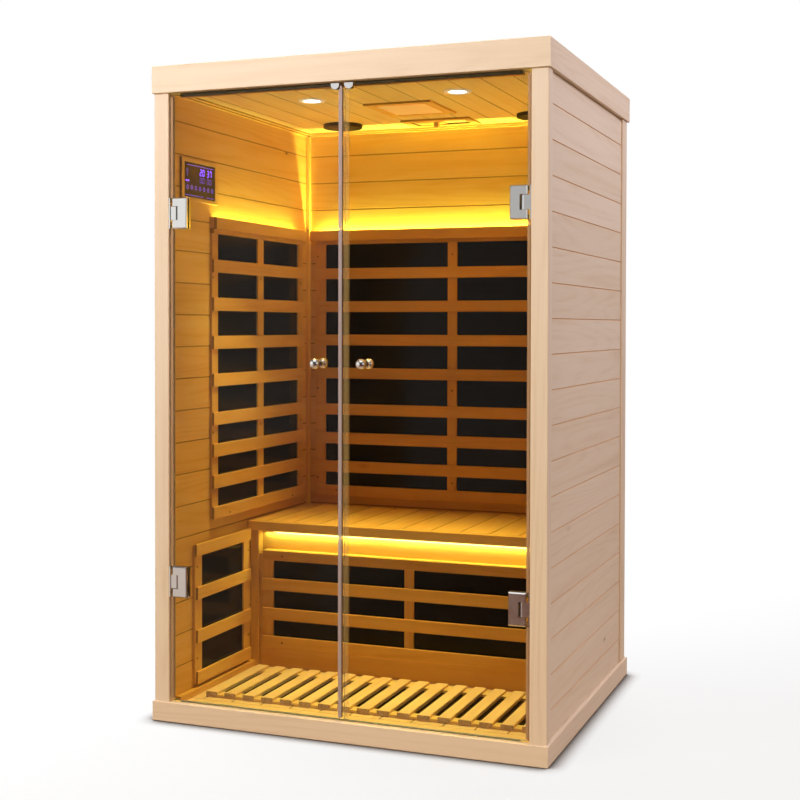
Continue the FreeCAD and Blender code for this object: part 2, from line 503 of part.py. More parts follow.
# ---------------------------------------------------------------- glass doors
def door_glass(x0, x1, cut_x, knob_x):
    g = box(x0, x1, GLASS_Y0, GLASS_Y1, GLASS_Z0, GLASS_Z1)
    g = cham(g, 0.8, lambda e: e.Length > 100)
    for zc in HINGE_Z:
        g = g.cut(box(min(cut_x), max(cut_x), GLASS_Y0 - 1, GLASS_Y1 + 1, zc - 33, zc + 33))
    return g.cut(cyl(6.0, 20, (knob_x, GLASS_Y0 - 5, KNOB_Z), (0, 1, 0)))


save("left_door_glass", door_glass(-541.0, -5.0, (-545.0, -500.0), -KNOB_X))
save("right_door_glass", door_glass(8.5, 541.0, (500.0, 545.0), KNOB_X))

SEAL_T = 1.2
SEAL_Z0, SEAL_Z1 = 66.6, 1828.5


def u_seal(edge, grip, nose, z0, z1):
    """Clear channel on a glass edge: grip is the far end of its two lips, nose its free end."""
    a, b = sorted((grip, nose))
    s = box(a, b, GLASS_Y0 - SEAL_T, GLASS_Y1 + SEAL_T, z0, z1)
    c, d = sorted((grip, edge))
    slot = box(c - 1 if grip < edge else c, d if grip < edge else d + 1, GLASS_Y0, GLASS_Y1, z0 - 1, z1 + 1)
    return s.cut(slot)


gaps = [(SEAL_Z0, HINGE_Z[0] - 45.6), (HINGE_Z[0] + 45.6, HINGE_Z[1] - 45.6), (HINGE_Z[1] + 45.6, SEAL_Z1)]
jamb_seals = [u_seal(-541.0, -536.0, -544.0, a, b) for a, b in gaps]
meet = u_seal(-5.0, -8.5, 2.0, SEAL_Z0, 1817.5).fuse(box(-5.0, 2.0, GLASS_Y0 - SEAL_T, GLASS_Y1 + SEAL_T, 1817.5, SEAL_Z1)).removeSplitter()
save("left_door_seals", jamb_seals + [meet])
save("right_door_seals", [mirror_x(s) for s in jamb_seals] + [u_seal(8.5, 21.0, 5.2, SEAL_Z0, 1817.5)])


def knob(xc):
    """Back-to-back pull knob turned about the hole through the glass, with its bolt."""
    def turned(face_y, s):
        prof = [(0, 0), (9.0, 0), (9.0, 1.8), (6.8, 3.0), (6.2, 8.0), (7.6, 11.0), (11.0, 13.8), (13.8, 18.0), (KNOB_R, 24.0),
                (14.2, 29.2), (11.8, 33.6), (8.4, 36.8), (4.4, 38.6), (0, 39.2)]
        pts = [V(xc + r, face_y + s * d, KNOB_Z) for r, d in prof]
        wire = [Part.LineSegment(pts[i], pts[i + 1]).toShape() for i in range(4)]
        curve = Part.BSplineCurve()
        curve.interpolate(pts[4:])
        wire.append(curve.toShape())
        wire.append(Part.LineSegment(pts[-1], pts[0]).toShape())
        face = Part.Face(Part.Wire(wire))
        r = face.revolve(V(xc, 0, KNOB_Z), V(0, 1, 0), 360)
        return r if r.Volume > 0 else r.reversed()
    front = turned(GLASS_Y0, -1)
    rear = turned(GLASS_Y1, 1)
    bolt = cyl(3.0, 8.0 + 16.0, (xc, GLASS_Y0 - 8.0, KNOB_Z), (0, 1, 0))
    sleeve = cyl(5.8, 8.0, (xc, GLASS_Y0, KNOB_Z), (0, 1, 0)).cut(bolt)
    return [Part.Solid(front.Solids[0]).cut(bolt), Part.Solid(rear.Solids[0]).cut(bolt), bolt, sleeve]


save("left_door_knob", knob(-KNOB_X))
save("right_door_knob", knob(KNOB_X))


def clip(a, b):
    """D-shaped strike plate folded over the top edge of the glass."""
    w = b - a
    r = w / 2
    zt, zs = GLASS_Z1 + 2.2, GLASS_Z1 - 14.5 + r

    def d_plate(y0, y1):
        straight = box(a, b, y0, y1, zs, zt)
        disc = cyl(r, y1 - y0, (a + r, y0, zs), (0, 1, 0)).common(box(a - 1, b + 1, y0 - 1, y1 + 1, zs - r - 1, zs))
        return straight.fuse(disc)
    front = d_plate(GLASS_Y0 - 3.0, GLASS_Y0)
    back = d_plate(GLASS_Y1, GLASS_Y1 + 3.0)
    top = box(a, b, GLASS_Y0 - 3.0, GLASS_Y1 + 3.0, GLASS_Z1, zt)
    return front.multiFuse([back, top]).removeSplitter()


save("left_catch_clip", clip(*CLIP_L))
save("right_catch_clip", clip(*CLIP_R))
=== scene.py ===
import json
import math
import random
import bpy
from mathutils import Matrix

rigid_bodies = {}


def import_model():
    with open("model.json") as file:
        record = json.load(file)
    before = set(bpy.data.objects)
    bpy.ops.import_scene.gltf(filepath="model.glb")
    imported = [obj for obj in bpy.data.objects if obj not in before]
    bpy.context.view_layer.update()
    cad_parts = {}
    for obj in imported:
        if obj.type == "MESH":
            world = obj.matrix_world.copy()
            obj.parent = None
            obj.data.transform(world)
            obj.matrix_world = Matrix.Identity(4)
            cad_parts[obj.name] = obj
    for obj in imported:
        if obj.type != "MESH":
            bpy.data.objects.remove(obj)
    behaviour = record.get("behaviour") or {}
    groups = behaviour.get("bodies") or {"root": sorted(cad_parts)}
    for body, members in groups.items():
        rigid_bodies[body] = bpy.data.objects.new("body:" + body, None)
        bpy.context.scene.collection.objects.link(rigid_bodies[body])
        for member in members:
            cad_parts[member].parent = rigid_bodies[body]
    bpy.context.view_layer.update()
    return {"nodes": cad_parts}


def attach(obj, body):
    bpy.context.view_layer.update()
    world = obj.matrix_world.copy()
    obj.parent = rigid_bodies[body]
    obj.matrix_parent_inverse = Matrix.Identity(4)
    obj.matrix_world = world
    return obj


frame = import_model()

import zlib

import bmesh
import bpy
import numpy as np
from mathutils import Matrix, Vector

NODES = frame["nodes"]
scene = bpy.context.scene
scene.view_settings.view_transform = "Standard"
scene.view_settings.look = "None"
scene.view_settings.exposure = 0.0
scene.view_settings.gamma = 1.0

MM = 0.001


# ---------------------------------------------------------------- node helpers
class Tree:
    """A material with short calls for its nodes. A value may be a socket or a constant."""

    def __init__(self, name):
        self.mat = bpy.data.materials.new(name)
        self.mat.use_nodes = True
        self.t = self.mat.node_tree
        self.t.nodes.clear()
        self.out = self.t.nodes.new("ShaderNodeOutputMaterial")

    def put(self, socket, value):
        if isinstance(value, bpy.types.NodeSocket):
            self.t.links.new(value, socket)
        elif value is not None:
            if hasattr(socket.default_value, "__len__"):
                v = tuple(value)
                if len(socket.default_value) == 4 and len(v) == 3:
                    v = v + (1.0,)
                socket.default_value = v
            else:
                socket.default_value = value

    def node(self, kind, inputs=None, **props):
        n = self.t.nodes.new(kind)
        for k, v in props.items():
            setattr(n, k, v)
        for k, v in (inputs or {}).items():
            self.put(n.inputs[k], v)
        return n

    def coord(self):
        return self.node("ShaderNodeTexCoord").outputs["Object"]

    def attr(self, name):
        return self.node("ShaderNodeAttribute", attribute_name=name).outputs["Fac"]

    def m(self, op, a, b=None, c=None, clamp=False):
        n = self.node("ShaderNodeMath", operation=op, use_clamp=clamp)
        for i, v in enumerate((a, b, c)):
            if v is not None:
                self.put(n.inputs[i], v)
        return n.outputs[0]

    def v(self, op, a, b=None, scale=None):
        n = self.node("ShaderNodeVectorMath", operation=op)
        self.put(n.inputs[0], a)
        if b is not None:
            self.put(n.inputs[1], b)
        if scale is not None:
            self.put(n.inputs["Scale"], scale)
        return n.outputs["Value"] if op in ("LENGTH", "DISTANCE", "DOT_PRODUCT") else n.outputs["Vector"]

    def split(self, vec):
        return self.node("ShaderNodeSeparateXYZ", {"Vector": vec}).outputs

    def noise(self, vec, scale=1.0, detail=2.0, rough=0.5, distort=0.0):
        n = self.node("ShaderNodeTexNoise", {"Vector": vec, "Scale": scale, "Detail": detail, "Roughness": rough, "Distortion": distort})
        return n.outputs["Fac"]

    def voronoi(self, vec, scale=1.0, feature="F1", out="Distance", rand=1.0):
        n = self.node("ShaderNodeTexVoronoi", feature=feature)
        self.put(n.inputs["Vector"], vec)
        self.put(n.inputs["Scale"], scale)
        self.put(n.inputs["Randomness"], rand)
        return n.outputs[out]

    def ramp(self, fac, stops, interp="LINEAR"):
        n = self.node("ShaderNodeValToRGB", {"Fac": fac})
        r = n.color_ramp
        r.interpolation = interp
        while len(r.elements) < len(stops):
            r.elements.new(1.0)
        for e, (pos, col) in zip(r.elements, stops):
            e.position = pos
        for e, (pos, col) in zip(r.elements, stops):
            e.color = tuple(col) + ((1.0,) if len(col) == 3 else ())
        return n.outputs["Color"]

    def mix(self, fac, a, b, blend="MIX"):
        n = self.node("ShaderNodeMix", data_type="RGBA", blend_type=blend)
        self.put(n.inputs[0], fac)
        self.put(n.inputs[6], a)
        self.put(n.inputs[7], b)
        return n.outputs[2]

    def range(self, v, a0, a1, b0, b1, smooth=False):
        n = self.node("ShaderNodeMapRange", {"Value": v, "From Min": a0, "From Max": a1, "To Min": b0, "To Max": b1})
        if smooth:
            n.interpolation_type = "SMOOTHSTEP"
        return n.outputs["Result"]

    def bump(self, height, strength=0.2, dist=0.0005):
        return self.node("ShaderNodeBump", {"Height": height, "Strength": strength, "Distance": dist}).outputs["Normal"]

    def principled(self, **vals):
        n = self.t.nodes.new("ShaderNodeBsdfPrincipled")
        names = {"color": "Base Color", "rough": "Roughness", "metal": "Metallic", "spec": "Specular IOR Level", "normal": "Normal",
                 "coat": "Coat Weight", "coat_rough": "Coat Roughness", "emit": "Emission Color", "power": "Emission Strength",
                 "alpha": "Alpha", "ior": "IOR", "trans": "Transmission Weight", "sss": "Subsurface Weight", "sheen": "Sheen Weight"}
        for k, v in vals.items():
            self.put(n.inputs[names[k]], v)
        return n.outputs[0]

    def done(self, shader):
        self.t.links.new(shader, self.out.inputs["Surface"])
        return self.mat


AX = {"x": 0, "y": 1, "z": 2}


def along(axis, a, c):
    v = [c, c, c]
    v[AX[axis]] = a
    return tuple(v)


# ---------------------------------------------------------------- timber
def timber(name, axis, pale, mid, deep, tone, rough=0.52, figure=0.16, fibre_amp=0.55, streak_amp=0.9, knots=True, shade=1.0, spec=0.3):
    """Planed board, grain along one axis: slow streaks, growth-ring figure, fine fibre, a few pin knots, its own tone per board."""
    T = Tree(name)
    b = T.attr("board")
    p = T.v("ADD", T.coord(), T.v("SCALE", (7.31, 3.17, 5.71), scale=b))
    fibre = T.noise(T.v("MULTIPLY", p, along(axis, 8.0, 420.0)), detail=3.0, rough=0.62)
    pore = T.noise(T.v("MULTIPLY", p, along(axis, 26.0, 1500.0)), detail=2.0, rough=0.7)
    streak = T.noise(T.v("MULTIPLY", p, along(axis, 0.85, 30.0)), detail=3.0, rough=0.55, distort=0.15)
    field = T.noise(T.v("MULTIPLY", p, along(axis, 0.42, 6.2)), detail=1.0, rough=0.4)
    ring = T.m("SINE", T.m("MULTIPLY", field, 120.0))
    line = T.m("POWER", T.m("MULTIPLY_ADD", ring, 0.5, 0.5), 2.2)
    f = T.m("MULTIPLY_ADD", T.m("SUBTRACT", streak, 0.5), streak_amp, 0.42)
    f = T.m("MULTIPLY_ADD", line, figure, f)
    f = T.m("MULTIPLY_ADD", T.m("SUBTRACT", fibre, 0.5), fibre_amp, f)
    f = T.m("MULTIPLY_ADD", T.m("SUBTRACT", pore, 0.5), 0.25, f, clamp=True)
    col = T.ramp(f, [(0.0, pale), (0.5, mid), (1.0, deep)])
    col = T.mix(1.0, col, T.ramp(T.m("FRACT", T.m("MULTIPLY", b, 13.7)), tone), "MULTIPLY")
    if knots:
        k = T.voronoi(T.v("MULTIPLY", p, along(axis, 2.2, 6.0)))
        halo = T.range(k, 0.022, 0.075, 1.0, 0.0, True)
        core = T.range(k, 0.012, 0.030, 1.0, 0.0, True)
        col = T.mix(T.m("MULTIPLY", halo, 0.35), col, tuple(c * 0.62 for c in deep))
        col = T.mix(T.m("MULTIPLY", core, 0.8), col, tuple(c * 0.16 for c in deep))
    if shade != 1.0:
        col = T.mix(1.0, col, (shade, shade * 0.94, shade * 0.86), "MULTIPLY")
    r = T.m("MULTIPLY_ADD", T.m("SUBTRACT", fibre, 0.5), 0.22, rough)
    r = T.m("MULTIPLY_ADD", T.m("SUBTRACT", streak, 0.5), 0.18, r, clamp=True)
    h = T.m("MULTIPLY_ADD", line, -0.35, T.m("MULTIPLY_ADD", pore, 0.35, fibre))
    return T.done(T.principled(color=col, rough=r, spec=spec, normal=T.bump(h, 0.22, 0.0006)))


def end_grain(name, mid, deep, tone):
    """Sawn end: arcs of growth rings, open pores, darker and rougher than the face."""
    T = Tree(name)
    b = T.attr("board")
    p = T.v("ADD", T.coord(), T.v("SCALE", (7.31, 3.17, 5.71), scale=b))
    field = T.noise(T.v("MULTIPLY", p, (9.0, 9.0, 9.0)), detail=1.0, rough=0.4)
    ring = T.m("MULTIPLY_ADD", T.m("SINE", T.m("MULTIPLY", field, 150.0)), 0.5, 0.5)
    pore = T.noise(T.v("MULTIPLY", p, (900.0, 900.0, 900.0)), detail=2.0)
    f = T.m("MULTIPLY_ADD", T.m("SUBTRACT", pore, 0.5), 0.7, T.m("MULTIPLY_ADD", ring, 0.5, 0.25), clamp=True)
    col = T.ramp(f, [(0.0, mid), (1.0, deep)])
    col = T.mix(1.0, col, T.ramp(T.m("FRACT", T.m("MULTIPLY", b, 13.7)), tone), "MULTIPLY")
    h = T.m("MULTIPLY_ADD", pore, 0.6, ring)
    return T.done(T.principled(color=col, rough=T.range(pore, 0.3, 0.7, 0.6, 0.8), spec=0.2, normal=T.bump(h, 0.3, 0.0005)))


TONE_OUT = [(0.0, (1.0, 1.0, 1.0)), (0.35, (0.975, 0.96, 0.94)), (0.7, (0.99, 0.985, 0.98)), (1.0, (0.95, 0.93, 0.90))]
TONE_IN = [(0.0, (1.0, 1.0, 1.0)), (0.35, (0.95, 0.93, 0.90)), (0.7, (1.0, 0.98, 0.95)), (1.0, (0.91, 0.88, 0.84))]

OUT = dict(pale=(0.83, 0.675, 0.515), mid=(0.79, 0.62, 0.455), deep=(0.68, 0.49, 0.325))
# inside wood: warmer than the outside, partly its own tone and partly the cabin's amber lamp light painted in
INS = dict(pale=(0.92, 0.635, 0.33), mid=(0.88, 0.55, 0.24), deep=(0.75, 0.40, 0.145))
# painted shade: the inside wood made darker and more orange for the back and calf guards, which stand out of the lamps'
# direct light
DIM = dict(pale=(0.88, 0.57, 0.27), mid=(0.84, 0.49, 0.19), deep=(0.70, 0.35, 0.115))
# painted light: the inside wood made paler and yellower for the ceiling, floor, sill and duckboard, where the lamps
# fall on them
PAL = dict(pale=(0.95, 0.77, 0.57), mid=(0.92, 0.70, 0.49), deep=(0.80, 0.54, 0.31))
RAW = dict(pale=(0.78, 0.62, 0.42), mid=(0.72, 0.54, 0.34), deep=(0.55, 0.37, 0.20))

FAMILY = {}
for fam, tones, spread in (("out", OUT, TONE_OUT), ("in", INS, TONE_IN), ("dim", DIM, TONE_IN), ("pal", PAL, TONE_IN), ("raw", RAW, TONE_IN)):
    rough, gleam = {"out": (0.55, 0.3), "in": (0.5, 0.14), "dim": (0.5, 0.10), "pal": (0.5, 0.14), "raw": (0.7, 0.2)}[fam]
    mats = [timber(f"hemlock_{fam}_{a}", a, tone=spread, rough=rough, knots=(fam, a) != ("out", "z"), spec=gleam, **tones) for a in "xyz"]
    mats.append(end_grain(f"hemlock_{fam}_end", tuple(c * 0.66 for c in tones["mid"]), tuple(c * 0.54 for c in tones["deep"]), spread))
    # the groove between two boards, darkened as painted shade in the V (warmer outside), and the eased edge of a slat
    warm = {k: tuple(v * t for v, t in zip(c, (1.10, 0.93, 0.78))) for k, c in tones.items()} if fam == "out" else tones
    mats += [timber(f"hemlock_{fam}_groove_{a}", a, tone=spread, rough=0.7, shade={"out": 0.80, "in": 0.52, "dim": 0.6, "pal": 0.50, "raw": 0.5}[fam], knots=False, spec=gleam, **warm)
             for a in "xyz"]
    mats += [timber(f"hemlock_{fam}_edge_{a}", a, tone=spread, rough=0.45, shade=1.03, knots=False, spec=gleam, **tones) for a in "xyz"]
    FAMILY[fam] = mats


def face_data(me):
    nv, npoly, nl = len(me.vertices), len(me.polygons), len(me.loops)
    co = np.empty(nv * 3); me.vertices.foreach_get("co", co); co = co.reshape(-1, 3)
    loop_v = np.empty(nl, np.int32); me.loops.foreach_get("vertex_index", loop_v)
    start = np.empty(npoly, np.int32); me.polygons.foreach_get("loop_start", start)
    total = np.empty(npoly, np.int32); me.polygons.foreach_get("loop_total", total)
    nor = np.empty(npoly * 3); me.polygons.foreach_get("normal", nor); nor = nor.reshape(-1, 3)
    cen = np.empty(npoly * 3); me.polygons.foreach_get("center", cen); cen = cen.reshape(-1, 3)
    return co, loop_v, start, total, nor, cen


def face_islands(me):
    """The solid that each face belongs to, found through corners that share a place."""
    co, loop_v, start, total, nor, cen = face_data(me)
    _, vid = np.unique(np.round(co * 1e5).astype(np.int64), axis=0, return_inverse=True)
    vid = vid.ravel()
    root = list(range(int(vid.max()) + 1))

    def find(a):
        while root[a] != a:
            root[a] = root[root[a]]
            a = root[a]
        return a

    for s, t in zip(start, total):
        a = find(int(vid[loop_v[s]]))
        for k in range(1, t):
            root[find(int(vid[loop_v[s + k]]))] = a
    lab = np.array([find(int(vid[loop_v[s]])) for s in start])
    return lab, co[:, :], vid, nor, cen, loop_v, start, total


def dress(node, fam, groove=False, mitred=False, force=None):
    """Gives each board of a node its grain direction, end grain, grooves or eased edges, and its own tone."""
    ob = NODES[node]
    me = ob.data
    lab, co, vid, nor, cen, loop_v, start, total = face_islands(me)
    if mitred:
        lab = np.where(np.abs(cen[:, 1]) / 0.51 > np.abs(cen[:, 0]) / 0.60, np.where(cen[:, 1] > 0, 0, 1), np.where(cen[:, 0] > 0, 2, 3))
    index = np.zeros(len(lab), np.int32)
    tone = np.zeros(len(lab), np.float32)
    for k, isl in enumerate(np.unique(lab)):
        sel = np.where(lab == isl)[0]
        pts = co[np.concatenate([loop_v[start[i]:start[i] + total[i]] for i in sel])]
        size = pts.max(0) - pts.min(0)
        ax = int(np.argmax(size))
        if force is not None:
            ax = AX[force]
        rng = random.Random(zlib.crc32(node.encode()) + 97 * k)
        tone[sel] = rng.random()
        n = np.abs(nor[sel])
        idx = np.full(len(sel), ax)
        slant = n.max(1) < 0.96
        idx[slant] = (4 if groove else 7) + ax
        idx[(n[:, ax] > 0.9)] = 3
        index[sel] = idx
    me.materials.clear()
    for m in FAMILY[fam]:
        me.materials.append(m)
    me.polygons.foreach_set("material_index", index)
    a = me.attributes.new("board", "FLOAT", "FACE")
    a.data.foreach_set("value", tone)
    me.update()


for n in ("left_outer_planks", "right_outer_planks", "back_outer_planks"):
    dress(n, "out", groove=True)
for n in ("base_plinth", "roof_fascia"):
    dress(n, "out", mitred=True)
dress("corner_posts", "out", force="z")
dress("front_header", "out")
for n in ("left_inner_planks", "right_inner_planks", "back_inner_planks", "bench_boards"):
    dress(n, "in", groove=True)
for n in ("ceiling_planks", "floor_boards"):
    dress(n, "pal", groove=True)
for n in ("front_sill", "duckboard_slats", "duckboard_battens"):
    dress(n, "pal")
for n in ("door_stops", "interior_trim", "left_wall_guard", "right_wall_guard", "left_leg_guard",
          "right_leg_guard", "bench_frame", "bench_front_rail", "bench_front_panel",
          "ceiling_light_frame", "vent_frame", "vent_shutter", "control_panel_frame"):
    dress(n, "in")
for n in ("back_wall_guard", "calf_guard"):
    dress(n, "dim")
for n in ("floor_joists", "wall_studs", "roof_joists"):
    dress(n, "raw")
# painted shade: the front edges of the two ceiling frames face away from the cabin's lamps and get the darkened groove
# finish
for n in ("ceiling_light_frame", "vent_frame"):
    for poly in NODES[n].data.polygons:
        if poly.normal.y < -0.7:
            poly.material_index = 4


# ---------------------------------------------------------------- other finishes
def plywood():
    T = Tree("roof_ply")
    p = T.coord()
    f = T.noise(T.v("MULTIPLY", p, (1.2, 26.0, 26.0)), detail=3.0, rough=0.55, distort=0.4)
    fig = T.m("MULTIPLY_ADD", T.m("SINE", T.m("MULTIPLY", T.noise(T.v("MULTIPLY", p, (0.7, 4.0, 4.0)), detail=1.0), 60.0)), 0.5, 0.5)
    fine = T.noise(T.v("MULTIPLY", p, (30.0, 900.0, 900.0)), detail=2.0)
    g = T.m("MULTIPLY_ADD", fig, 0.35, T.m("MULTIPLY_ADD", fine, 0.3, T.m("MULTIPLY", f, 0.5)), clamp=True)
    col = T.ramp(g, [(0.0, (0.62, 0.49, 0.33)), (0.55, (0.55, 0.41, 0.26)), (1.0, (0.40, 0.27, 0.15))])
    dust = T.noise(p, 3.0, detail=4.0)
    col = T.mix(T.range(dust, 0.45, 0.75, 0.0, 0.25), col, (0.70, 0.67, 0.62))
    return T.done(T.principled(color=col, rough=T.range(fine, 0.3, 0.7, 0.62, 0.78), spec=0.25, normal=T.bump(g, 0.2, 0.0005)))


def plastic(name, color, rough, grain=900.0, depth=0.1, spec=0.4, vary=0.12):
    """Moulded plastic or rubber: fine texture, slight patches of colour and shine."""
    T = Tree(name)
    p = T.coord()
    fine = T.noise(p, grain, detail=2.0)
    slow = T.noise(p, 22.0, detail=3.0)
    col = T.ramp(slow, [(0.25, tuple(c * (1 - vary) for c in color)), (0.75, tuple(min(1.0, c * (1 + vary)) for c in color))])
    r = T.m("MULTIPLY_ADD", T.m("SUBTRACT", slow, 0.5), 0.2, T.m("MULTIPLY_ADD", T.m("SUBTRACT", fine, 0.5), 0.12, rough), clamp=True)
    return T.done(T.principled(color=col, rough=r, spec=spec, normal=T.bump(fine, depth, 0.0003)))


def metal(name, color, rough, axis=None, smear=0.06):
    """Plated or ground metal: fine lay lines if brushed, soft smears in the shine."""
    T = Tree(name)
    p = T.coord()
    slow = T.noise(p, 55.0, detail=3.0, rough=0.6)
    if axis:
        lay = T.noise(T.v("MULTIPLY", p, along(axis, 40.0, 3500.0)), detail=2.0)
    else:
        lay = T.noise(p, 2600.0, detail=1.0)
    r = T.m("MULTIPLY_ADD", T.m("SUBTRACT", lay, 0.5), smear, T.m("MULTIPLY_ADD", T.m("SUBTRACT", slow, 0.5), smear * 1.6, rough), clamp=True)
    col = T.ramp(slow, [(0.2, tuple(c * 0.96 for c in color)), (0.8, color)])
    return T.done(T.principled(color=col, metal=1.0, rough=r, normal=T.bump(lay, 0.03 if not axis else 0.08, 0.0001)))


def heater():
    """Glossy black laminate over a carbon film: faint film bands, soft waves in the gloss."""
    T = Tree("heater_film")
    p = T.coord()
    wave = T.noise(p, 5.0, detail=2.0)
    x, y, z = T.split(p)
    band = T.m("MULTIPLY_ADD", T.m("SINE", T.m("MULTIPLY", T.m("ADD", x, y), 420.0)), 0.5, 0.5)
    fine = T.noise(p, 1200.0, detail=1.0)
    f = T.m("MULTIPLY_ADD", band, 0.08, T.m("MULTIPLY_ADD", wave, 0.7, T.m("MULTIPLY", fine, 0.15)))
    col = T.ramp(f, [(0.2, (0.010, 0.0078, 0.0065)), (0.8, (0.019, 0.0145, 0.012))])
    r = T.range(wave, 0.3, 0.7, 0.08, 0.15)
    return T.done(T.principled(color=col, rough=r, spec=0.12, normal=T.bump(wave, 0.05, 0.002)))


def glass(name, tint, sheen):
    """Toughened pane: clear, with a Fresnel sheen and the faintest smears."""
    T = Tree(name)
    p = T.coord()
    smear = T.noise(T.v("MULTIPLY", p, (3.0, 3.0, 1.2)), 4.0, detail=4.0, rough=0.6)
    fr = T.node("ShaderNodeFresnel", {"IOR": 1.38}).outputs[0]
    fr = T.m("MULTIPLY", fr, T.range(smear, 0.35, 0.7, sheen * 0.85, sheen * 1.15))
    see = T.node("ShaderNodeBsdfTransparent", {"Color": T.ramp(smear, [(0.3, tint), (0.8, tuple(c * 0.985 for c in tint))])}).outputs[0]
    shine = T.node("ShaderNodeBsdfGlossy", {"Color": (1, 1, 1), "Roughness": T.range(smear, 0.3, 0.8, 0.0, 0.03)}).outputs[0]
    mix = T.node("ShaderNodeMixShader", {0: fr, 1: see, 2: shine})
    return T.done(mix.outputs[0])


def glass_edge(name, color, alpha):
    """Ground and polished edge of a pane: tinted, part clear."""
    T = Tree(name)
    p = T.coord()
    s = T.noise(T.v("MULTIPLY", p, (60.0, 60.0, 4.0)), 3.0, detail=2.0)
    col = T.ramp(s, [(0.3, color), (0.7, tuple(min(1, c * 1.12) for c in color))])
    return T.done(T.principled(color=col, rough=T.range(s, 0.3, 0.7, 0.12, 0.25), spec=0.5, alpha=alpha))


def lamp(name, color, emit, power, rough=0.4, ribs=None):
    """A lit diffuser: the light is even, the moulded face has fine prisms."""
    T = Tree(name)
    p = T.coord()
    if ribs == "round":
        h = T.noise(p, 900.0, detail=2.0)
    else:
        h = T.noise(p, ribs or 400.0, detail=1.0)
    col = T.ramp(h, [(0.3, tuple(c * 0.95 for c in color)), (0.7, color)])
    return T.done(T.principled(color=col, rough=rough, emit=emit, power=power, normal=T.bump(h, 0.1, 0.0003)))


AMBER = (1.0, 1.10, 0.14)
WARM = (1.0, 0.76, 0.12)

MAT = {
    "roof_panel": plywood(),
    "heater_panels": heater(),
    "chrome": metal("chrome_plate", (0.80, 0.80, 0.81), 0.10),
    "satin": metal("satin_chrome", (0.76, 0.76, 0.76), 0.20, "z"),
    "pin": metal("pin_steel", (0.56, 0.56, 0.57), 0.28, "z"),
    "bezel": None,
    "box": plastic("box_paint", (0.40, 0.40, 0.395), 0.42, grain=700.0, depth=0.12),
    "gland": plastic("gland_black", (0.02, 0.02, 0.02), 0.5),
    "trunking": plastic("trunking_white", (0.56, 0.56, 0.54), 0.45, depth=0.05),
    "rubber": plastic("rubber_black", (0.095, 0.074, 0.042), 0.6, depth=0.15),
    "rubber_painted_lit": plastic("rubber_painted_lit", (0.20, 0.21, 0.14), 0.5, depth=0.1),
    "catch": plastic("catch_black", (0.02, 0.02, 0.02), 0.5),
    "speaker": plastic("speaker_brown", (0.030, 0.015, 0.008), 0.55, grain=1100.0, depth=0.2),
    "touch": None,
    "led": lamp("light_strip", (1.0, 0.92, 0.6), (1.0, 0.74, 0.16), 2.2),
    "lens": lamp("lamp_lens", (1.0, 0.98, 0.92), (1.0, 0.97, 0.90), 6.0, ribs="round"),
    "diffuser": lamp("diffuser", (0.95, 0.78, 0.60), (1.0, 0.46, 0.12), 0.42, ribs=500.0),
    # painted reflection: both panes are the same glass, but the left pane is given three times the right pane's sheen
    # to carry its brighter reflection
    "glass_left": glass("door_glass_left", (0.975, 0.985, 0.98), 0.24),
    "glass_right": glass("door_glass_right", (0.975, 0.985, 0.98), 0.08),
    "glass_rim": glass_edge("door_glass_rim", (0.22, 0.25, 0.18), 0.5),
    "seal": glass_edge("seal_white", (0.46, 0.35, 0.33), 0.70),
    "seal_jamb": glass_edge("seal_jamb", (0.47, 0.27, 0.13), 0.66),
    "seal_clear": glass_edge("seal_clear", (0.80, 0.50, 0.16), 0.10),
    "seal_dark": glass_edge("seal_dark", (0.085, 0.05, 0.042), 0.85),
}


def touch_face():
    T = Tree("touch_glass")
    p = T.coord()
    s = T.noise(p, 14.0, detail=4.0)
    col = T.ramp(s, [(0.3, (0.010, 0.009, 0.010)), (0.7, (0.018, 0.015, 0.016))])
    return T.done(T.principled(color=col, rough=T.range(s, 0.3, 0.75, 0.06, 0.22), spec=0.5, coat=0.4, coat_rough=0.05))


MAT["touch"] = touch_face()
# painted light: the trim ring round a downlight is made to glow faintly for the lamp's light it catches
MAT["bezel"] = lamp("bezel_metal", (0.80, 0.77, 0.70), (1.0, 0.86, 0.60), 0.26, rough=0.3, ribs=700.0)


def wear(node, mat):
    me = NODES[node].data
    me.materials.clear()
    me.materials.append(mat)


for n, m in (("roof_panel", "roof_panel"), ("heater_panels", "heater_panels"), ("hinge_knuckles", "satin"), ("left_hinge_clamps", "satin"),
             ("right_hinge_clamps", "satin"), ("left_door_knob", "chrome"), ("right_door_knob", "chrome"), ("left_catch_clip", "chrome"),
             ("right_catch_clip", "chrome"), ("hinge_pins", "pin"), ("downlight_bezels", "bezel"), ("downlight_lenses", "lens"),
             ("speaker_rims", "speaker"), ("speaker_grilles", "speaker"), ("ceiling_light_diffuser", "diffuser"), ("control_panel_glass", "touch"),
             ("power_box", "box"), ("cable_gland", "gland"), ("cable_trunking", "trunking"), ("catch_magnets", "catch"), ("led_strips", "led")):
    wear(n, MAT[m])

# painted light: the header and sill gaskets are one dark rubber; the header one is kept near black in the crown's
# shade, the sill one is painted grey-green where the studio light falls on it
me = NODES["door_gaskets"].data
me.materials.clear()
me.materials.append(MAT["rubber"])
me.materials.append(MAT["rubber_painted_lit"])
for poly in me.polygons:
    poly.material_index = 1 if poly.center.z < 0.2 else 0

# panes: clear faces, ground rims
for n in ("left_door_glass", "right_door_glass"):
    me = NODES[n].data
    me.materials.clear()
    me.materials.append(MAT["glass_left" if n.startswith("left") else "glass_right"])
    me.materials.append(MAT["glass_rim"])
    for poly in me.polygons:
        poly.material_index = 0 if abs(poly.normal.y) > 0.9 else 1

